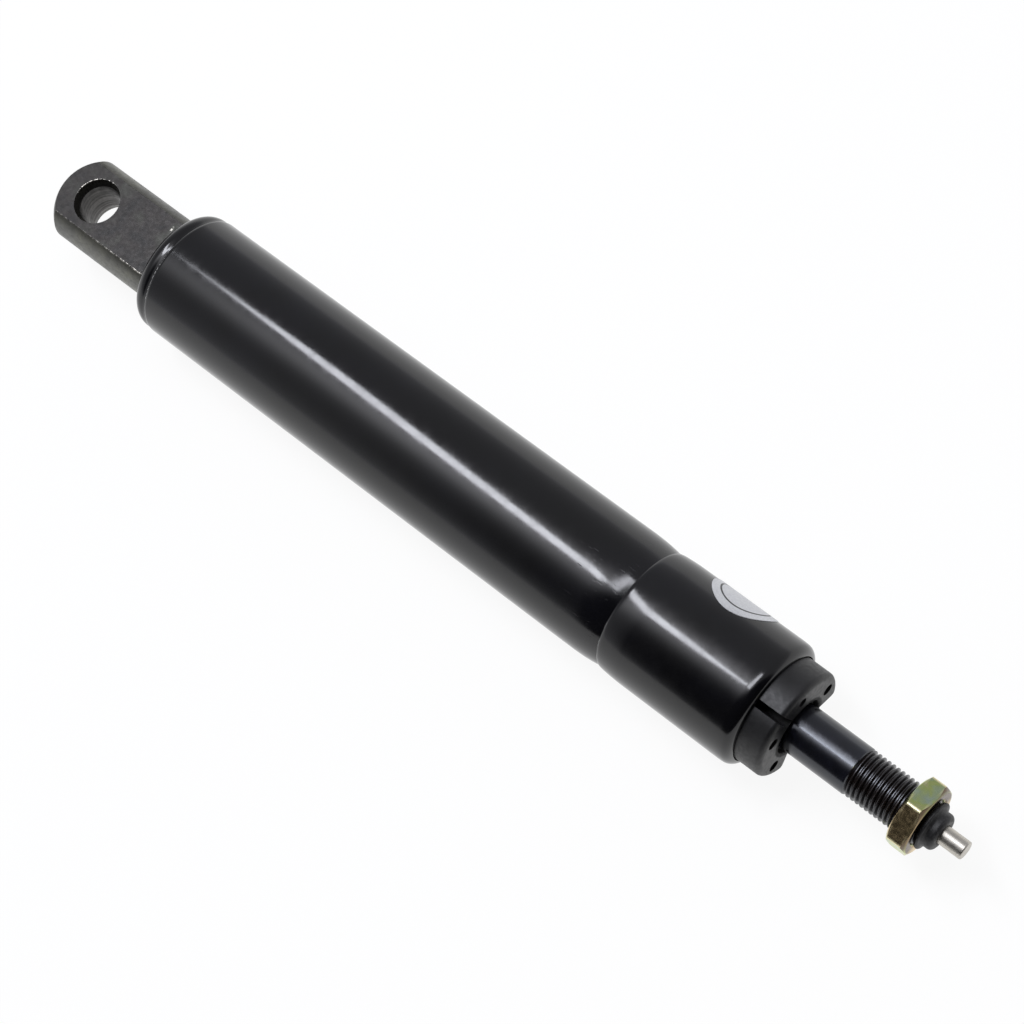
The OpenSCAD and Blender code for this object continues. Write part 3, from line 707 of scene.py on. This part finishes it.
def lobe_corner(side):
    """What is cut away to round a lobe's outer corner beside the open side."""
    radius = LOBE_CORNER
    out = math.sqrt((COLLAR_R - radius) ** 2 - radius ** 2)
    low, high = sorted((-side, side * radius))
    obj = block("corner", (GAP_FLOOR, low, out), (CUT_END, high, TUBE_R))
    bar = drill("bar", radius, *COLLAR_SPAN, 96, (0, 90, 0))
    join_by(obj, place(bar, y=side * radius, z=out), "DIFFERENCE")
    return place(obj, about_x=side * GAP_ANGLE + SLIT_ANGLE)


def collar_gap():
    """The wedge that opens the collar's far side: a three-sided bar, one corner on the axis."""
    bpy.ops.object.select_all(action="DESELECT")
    bpy.ops.mesh.primitive_circle_add(vertices=3, radius=MM, fill_type="NGON")
    obj = named("gap")
    reach = 30.0
    half = reach * math.tan(math.radians(180 - GAP_ANGLE))
    corners = [(GAP_FLOOR, y, z) for y, z in ((0, 0), (-half, -reach), (half, -reach))]
    bpy.ops.object.mode_set(mode="EDIT")
    mesh = bmesh.from_edit_mesh(obj.data)
    for corner, at in zip(mesh.verts, corners):
        corner.co = Vector(at) * MM
    bmesh.update_edit_mesh(obj.data)
    bpy.ops.mesh.select_all(action="SELECT")
    bpy.ops.mesh.extrude_region_move(TRANSFORM_OT_translate={"value": (OUTSIDE * MM, 0, 0)})
    bpy.ops.mesh.select_all(action="SELECT")
    bpy.ops.mesh.normals_make_consistent(inside=False)
    bpy.ops.object.mode_set(mode="OBJECT")
    return place(obj, about_x=SLIT_ANGLE)


def thread_bar():
    """The threaded length as a true helix, with both its ends cut square and closed."""
    bpy.ops.object.select_all(action="DESELECT")
    bpy.ops.mesh.primitive_circle_add(vertices=4, radius=MM)
    obj = named("thread")
    turns, sides = 20, 72
    start, root, crest_edge = THREAD_START - 2 * PITCH, THREAD_R - THREAD_DEPTH, THREAD_R - 0.05
    # one ridge, as shares of the pitch and radii
    ridge = [(0, root), (0.1875, root), (0.5, crest_edge), (0.5625, THREAD_R),
             (0.6875, THREAD_R), (0.75, crest_edge), (1, root)]
    bpy.ops.object.mode_set(mode="EDIT")
    bpy.ops.mesh.select_mode(type="VERT")
    bpy.ops.mesh.select_all(action="SELECT")
    bpy.ops.mesh.merge(type="CENTER")
    bpy.ops.transform.translate(value=(start * MM, 0, root * MM))
    for (at, r), (next_at, next_r) in zip(ridge, ridge[1:]):
        bpy.ops.mesh.extrude_region_move(
            TRANSFORM_OT_translate={"value": ((next_at - at) * PITCH * MM, 0, (next_r - r) * MM)}
        )
    bpy.ops.object.mode_set(mode="OBJECT")
    only(obj)
    step = obj.modifiers.new("helix", "SCREW")
    step.axis, step.angle, step.screw_offset = "X", math.tau, PITCH * MM
    step.iterations, step.steps, step.render_steps = turns, sides, sides
    step.use_merge_vertices, step.merge_threshold = True, 1e-6
    bpy.ops.object.modifier_apply(modifier=step.name)
    bpy.ops.object.mode_set(mode="EDIT")
    bpy.ops.mesh.select_all(action="SELECT")
    bpy.ops.mesh.remove_doubles(threshold=2e-6)
    for x, side in ((THREAD_START - 0.6, -1), (ROD_END, 1)):
        bpy.ops.mesh.select_all(action="SELECT")
        bpy.ops.mesh.bisect(
            plane_co=(x * MM, 0, 0), plane_no=(side, 0, 0), use_fill=True, clear_outer=True,
            threshold=1e-7,
        )
    bpy.ops.mesh.select_all(action="SELECT")
    bpy.ops.mesh.normals_make_consistent(inside=False)
    bpy.ops.object.mode_set(mode="OBJECT")
    return obj


def piston_rod():
    """Hollow rod: spigot, ground shank and threaded end with its chamfer and the boot's pocket."""
    obj = thread_bar()
    clear_r, runout, runout_r = 8.0, THREAD_START + 0.45, 5.3
    nose = turned("chamfer", [
        (200, 0), (200, clear_r), (ROD_END - 2.1, clear_r), (ROD_END - THREAD_CHAMFER, THREAD_R),
        (ROD_END, THREAD_R - THREAD_CHAMFER), (ROD_END, 0),
    ], 96)
    join_by(obj, nose, "INTERSECT")
    shank = turned("rod_hollow", [
        (SPIGOT_START, 0), (SPIGOT_START, SPIGOT_R), (SHANK_START, SPIGOT_R),
        (SHANK_START, ROD_R), (THREAD_START - 0.2, ROD_R), (runout, runout_r), (runout, 0),
    ], 144)
    join_by(shank, obj, "UNION")
    before, after = SPIGOT_START - 4.05, ROD_END + 5.8
    hollow = turned("hollow", [
        (before, 0), (before, HOLLOW_R), (POCKET_START, HOLLOW_R), (POCKET_START, POCKET_R),
        (after, POCKET_R), (after, 0),
    ], 72)
    join_by(shank, hollow, "DIFFERENCE")
    port = drill("port", PORT_R, -10, 10, 32, (90, 0, 0))
    # turned a little, so that no edge of the drill runs along an edge of the rod
    join_by(shank, place(port, x=PORT_X, about_x=1.1), "DIFFERENCE")
    smooth(shank, 28)
    fit(shank, "rod", "piston_rod", rod_nitrided())


def lock_nut():
    """Thin hexagon nut, chamfered on both faces and countersunk."""
    corner = NUT_FLATS / math.sqrt(3)
    bpy.ops.object.select_all(action="DESELECT")
    bpy.ops.mesh.primitive_cylinder_add(
        vertices=6, radius=corner * MM, depth=(NUT_FRONT - NUT_BACK) * MM,
        location=((NUT_BACK + NUT_FRONT) / 2 * MM, 0, 0), rotation=(0, math.pi / 2, 0),
    )
    obj = named("lock_nut_zinc")
    bpy.ops.object.mode_set(mode="EDIT")
    bpy.ops.mesh.select_mode(type="EDGE")
    pick(obj, lambda edge: abs(edge.verts[0].co.x - edge.verts[1].co.x) > MM, "edges")
    bpy.ops.mesh.bevel(offset=0.32 * MM, segments=3, affect="EDGES")
    bpy.ops.mesh.select_mode(type="VERT")
    bpy.ops.object.mode_set(mode="OBJECT")
    turn_corner_up(obj)
    join_by(obj, nut_bevels(corner), "INTERSECT")
    join_by(obj, nut_bore(), "DIFFERENCE")
    soften(obj, 0.14, 2, 20)
    smooth(obj, 35, weighted=True)
    fit(obj, "nut", "lock_nut", nut_zinc())


def nut_bevels(corner):
    """The disc with bevelled rims that the hexagon is trimmed to."""
    slope = (corner - NUT_FACE_R) * 0.62
    far = corner + 0.2
    return turned("bevels", [
        (NUT_BACK, 0), (NUT_BACK, NUT_FACE_R), (NUT_BACK + slope, corner),
        (NUT_BACK + slope, far), (NUT_FRONT - slope, far), (NUT_FRONT - slope, corner),
        (NUT_FRONT, NUT_FACE_R), (NUT_FRONT, 0),
    ])


def nut_bore():
    """The nut's bore with a countersink at each end, for cutting with."""
    out, wide = 1.0, NUT_BORE_R + 1.5
    return turned("bore", [
        (NUT_BACK - out, 0), (NUT_BACK - out, wide), (NUT_BACK + NUT_SINK, NUT_BORE_R),
        (NUT_FRONT - NUT_SINK, NUT_BORE_R), (NUT_FRONT + out, wide), (NUT_FRONT + out, 0),
    ], 96)


def turn_corner_up(obj):
    """Turns the hexagon so that a corner stands near straight up, a little towards -Y."""
    highest = max(obj.data.vertices, key=lambda v: v.co.z).co
    now = math.degrees(math.atan2(-highest.y, highest.z))
    place(obj, about_x=NUT_ANGLE - now)


def dust_boot():
    """Rubber boot: a plug in the rod's end, a rounded flange, a waist, and a dome that closes on
    the pin."""
    waist = BOOT_BACK + 1.3
    obj = turned("dust_boot_dome", [
        (BOOT_PLUG, BOOT_BORE_R), (BOOT_PLUG, BOOT_PLUG_R - 0.3), (BOOT_PLUG + 0.3, BOOT_PLUG_R),
        (BOOT_BACK, BOOT_PLUG_R), (BOOT_BACK, BOOT_LIP_R + 0.05),
        (BOOT_BACK + 0.12, BOOT_LIP_R + 0.27),
        *arc(BOOT_BACK + 0.72, BOOT_LIP_R + 0.05, 0.45, -40, 75, 7),
        (waist, 5.1), (waist + 0.15, 4.8), (waist + 0.32, 4.62), (waist + 0.6, 4.56),
        *arc(BOOT_FRONT - 1.25, 3.35, 1.22, 5, 76, 9),
        (BOOT_FRONT - 0.02, BOOT_BORE_R + 0.75), (BOOT_FRONT, BOOT_BORE_R + 0.5),
        (BOOT_FRONT - 0.1, BOOT_BORE_R + 0.15), (BOOT_FRONT - 0.4, BOOT_BORE_R),
        (BOOT_PLUG, BOOT_BORE_R),
    ], 128)
    smooth(obj, 50)
    fit(obj, "rod", "dust_boot", boot_rubber())


def release_pin():
    """Long bright pin that opens the valve, with a rounded end."""
    bevel, rounding = 0.4, 0.35
    obj = turned("release_pin_drawn", [
        (PIN_START, 0), (PIN_START, PIN_R - bevel), (PIN_START + bevel, PIN_R),
        *arc(PIN_END - rounding, PIN_R - rounding, rounding, 0, 82, 6),
        (PIN_END, PIN_R - 0.6), (PIN_END, 0),
    ], 96)
    smooth(obj, 40)
    fit(obj, "release", "release_pin", pin_steel())


def label():
    """Round sticker wrapped on the tube."""
    back, front, top = STICKER_X - 12, STICKER_X + 12, TUBE_R + STICKER_T
    obj = turned("sticker_round", [
        (back, TUBE_R), (back, top), (front, top), (front, TUBE_R), (back, TUBE_R),
    ], 256)
    punch = place(drill("punch", STICKER_R, 0, 30, 160), x=STICKER_X, about_x=STICKER_ANGLE)
    join_by(obj, punch, "INTERSECT")
    smooth(obj, 30)
    fit(obj, "cylinder", "label", sticker_paper())


def inner_pieces():
    """The pieces sealed inside keep their CAD shapes and get their finishes."""
    rubber = seal_rubber()
    aluminium = turned_metal("inner_aluminium", srgb(176, 178, 180), srgb(200, 202, 204), 0.28)
    bronze = turned_metal("inner_bronze", srgb(150, 116, 66), srgb(184, 146, 86), 0.3)
    steel = turned_metal("inner_steel", srgb(150, 150, 152), srgb(190, 190, 192), 0.22)
    finishes = (
        (rubber, ("base_oring", "separator_oring", "stem_oring", "guide_oring", "rod_seal",
                  "rod_wiper", "bump_stop")),
        (aluminium, ("separator_piston", "rod_guide")),
        (bronze, ("valve_seat", "stem_bush", "guide_bush")),
        (steel, ("piston", "backup_washer")),
        (pin_steel(), ("valve_stem",)),
        (collar_plastic(), ("piston_ring",)),
        (nut_zinc(), ("piston_nut",)),
    )
    for finish, names in finishes:
        for name in names:
            for place_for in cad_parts[name].material_slots:
                place_for.material = finish


# ---------------------------------------------------------------- studio


def connect(tree, *pairs):
    """Links each output to its input."""
    for a, b in pairs:
        tree.links.new(a, b)


def floor():
    """Plain sheet under the strut. What the camera sees of it, straight or in gloss, is white with
    a soft shadow."""
    bpy.ops.object.select_all(action="DESELECT")
    bpy.ops.mesh.primitive_plane_add(size=8, location=(0.13, 0, -TUBE_R * MM - 0.00005))
    sheet = named("floor")
    bpy.ops.object.mode_set(mode="EDIT")
    bpy.ops.mesh.subdivide(number_cuts=3)
    bpy.ops.object.mode_set(mode="OBJECT")
    material = bpy.data.materials.new("floor_sheet")
    material.use_nodes = True
    tree = material.node_tree
    tree.nodes.clear()
    path = tree.nodes.new("ShaderNodeLightPath")
    seen = path.outputs["Is Camera Ray"]
    for other in ("Is Glossy Ray", "Is Transmission Ray"):
        either = tree.nodes.new("ShaderNodeMath")
        either.operation = "MAXIMUM"
        connect(tree, (seen, either.inputs[0]), (path.outputs[other], either.inputs[1]))
        seen = either.outputs[0]
    plain = tree.nodes.new("ShaderNodeBsdfDiffuse")
    plain.inputs["Color"].default_value = (*[PLAIN_FLOOR] * 3, 1)
    dim = tree.nodes.new("ShaderNodeBsdfDiffuse")
    dim.inputs["Color"].default_value = (*[SEEN_FLOOR] * 3, 1)
    glow = tree.nodes.new("ShaderNodeEmission")
    glow.inputs["Strength"].default_value = FLOOR_GLOW
    both = tree.nodes.new("ShaderNodeAddShader")
    choose = tree.nodes.new("ShaderNodeMixShader")
    out = tree.nodes.new("ShaderNodeOutputMaterial")
    connect(tree, (dim.outputs[0], both.inputs[0]), (glow.outputs[0], both.inputs[1]),
            (seen, choose.inputs[0]), (plain.outputs[0], choose.inputs[1]),
            (both.outputs[0], choose.inputs[2]), (choose.outputs[0], out.inputs[0]))
    sheet.data.materials.append(material)


class Sky:
    """The studio round the strut, built node by node from the way that a ray goes."""

    def __init__(self):
        world = bpy.data.worlds.new("studio")
        bpy.context.scene.world = world
        world.use_nodes = True
        self.tree = world.node_tree
        self.way = self.tree.nodes.new("ShaderNodeTexCoord").outputs["Generated"]

    def maths(self, operation, a, b=0.0):
        made = self.tree.nodes.new("ShaderNodeMath")
        made.operation = operation
        for socket, value in zip(made.inputs, (a, b)):
            if isinstance(value, bpy.types.NodeSocket):
                self.tree.links.new(value, socket)
            else:
                socket.default_value = value
        return made.outputs[0]

    def along(self, direction):
        """How far a ray goes along a direction, -1 to 1."""
        made = self.tree.nodes.new("ShaderNodeVectorMath")
        made.operation = "DOT_PRODUCT"
        self.tree.links.new(self.way, made.inputs[0])
        made.inputs[1].default_value = Vector(direction).normalized()
        return made.outputs["Value"]

    def by_height(self, stops):
        """A level for each height, eased from one stop to the next."""
        ramp = self.tree.nodes.new("ShaderNodeValToRGB")
        self.tree.links.new(self.along((0, 0, 1)), ramp.inputs["Fac"])
        ramp.color_ramp.interpolation = "B_SPLINE"
        points = ramp.color_ramp.elements
        while len(points) < len(stops):
            points.new(0.5)
        for point, (height, level) in zip(points, stops):
            point.position, point.color = height, (level, level, level, 1)
        return ramp.outputs["Color"]

    def soft_glow(self):
        """A soft oval of light beside the softbox."""
        middle = Vector(GLOW_TOWARDS).normalized()
        long_way = Vector(GLOW_LONG_WAY)
        long_way = (long_way - middle * middle.dot(long_way)).normalized()
        spread = 0.0
        for direction, width in zip((long_way, middle.cross(long_way)), GLOW_WIDTHS):
            part = self.maths("DIVIDE", self.along(direction), width)
            spread = self.maths("ADD", self.maths("MULTIPLY", part, part), spread)
        glow = self.maths("EXPONENT", self.maths("MULTIPLY", spread, -1.0))
        glow = self.maths("MULTIPLY", glow, GLOW_LEVEL)
        return self.maths("MULTIPLY", glow, self.maths("GREATER_THAN", self.along(middle), 0.0))

    def dark_side(self):
        """The dark of the room on the -Y side: 1 away from it, nearly 0 in it."""
        shade = self.tree.nodes.new("ShaderNodeMapRange")
        shade.interpolation_type = "SMOOTHSTEP"
        self.tree.links.new(self.along(DARK_TOWARDS), shade.inputs["Value"])
        for socket, number in zip(("From Min", "From Max", "To Min", "To Max"), DARK_FADE):
            shade.inputs[socket].default_value = number
        return shade.outputs["Result"]


def sky():
    """White low down and dim above, with a soft glow and a dark side. The camera sees a plain
    white backdrop in its place."""
    studio = Sky()
    tree = studio.tree
    level = studio.maths("ADD", studio.by_height(SKY_LEVELS), studio.soft_glow())
    level = studio.maths("MULTIPLY", level, studio.dark_side())
    room = tree.nodes["Background"]
    room.inputs["Color"].default_value = ROOM_COLOUR
    backdrop = tree.nodes.new("ShaderNodeBackground")
    backdrop.inputs["Color"].default_value = (*[BACKDROP] * 3, 1)
    seen = tree.nodes.new("ShaderNodeLightPath").outputs["Is Camera Ray"]
    choose = tree.nodes.new("ShaderNodeMixShader")
    connect(tree, (level, room.inputs["Strength"]), (seen, choose.inputs[0]),
            (room.outputs[0], choose.inputs[1]), (backdrop.outputs[0], choose.inputs[2]),
            (choose.outputs[0], tree.nodes["World Output"].inputs["Surface"]))


def facing(right, up, back, at):
    """The matrix of something at a place whose own X, Y and Z go these ways."""
    return Matrix.Translation(at) @ Matrix((right, up, back)).transposed().to_4x4()


def panel(name, middle, towards, along, size, brightness):
    """A flat lamp of an even brightness, its long side lying along a direction."""
    lamp = bpy.data.lights.new(name, "AREA")
    lamp.shape, (lamp.size, lamp.size_y) = "RECTANGLE", size
    lamp.energy = brightness * math.pi * size[0] * size[1]
    lamp.color = LAMP_COLOUR
    obj = bpy.data.objects.new(name, lamp)
    bpy.context.scene.collection.objects.link(obj)
    back = (Vector(middle) - Vector(towards)).normalized()
    side = (Vector(along) - back * back.dot(Vector(along))).normalized()
    obj.matrix_world = facing(side, back.cross(side), back, middle)


def lamps():
    """A long narrow softbox over the strut, and a second one across it."""
    panel("softbox", middle=(-0.3, 0.022, 1.0), towards=(0.13, 0, 0), along=GLOW_LONG_WAY,
          size=(0.5, 0.16), brightness=14.5)
    panel("cross_softbox", middle=(0.07, 0.15, 1.0), towards=(0.2, 0, 0), along=(0.15, 1, 0),
          size=(0.56, 0.12), brightness=10)


def camera():
    """Where the photograph was taken from."""
    right, up = Vector(CAMERA_RIGHT), Vector(CAMERA_UP)
    data = bpy.data.cameras.new("camera")
    data.sensor_width, data.lens = SENSOR, LENS
    obj = bpy.data.objects.new("camera", data)
    bpy.context.scene.collection.objects.link(obj)
    obj.matrix_world = facing(right, up, right.cross(up), CAMERA_AT)
    bpy.context.scene.camera = obj


outer_tube()
eye_fitting()
end_collar()
piston_rod()
lock_nut()
dust_boot()
release_pin()
label()
inner_pieces()
floor()
sky()
lamps()
camera()
bpy.context.scene.view_settings.view_transform = "Standard"
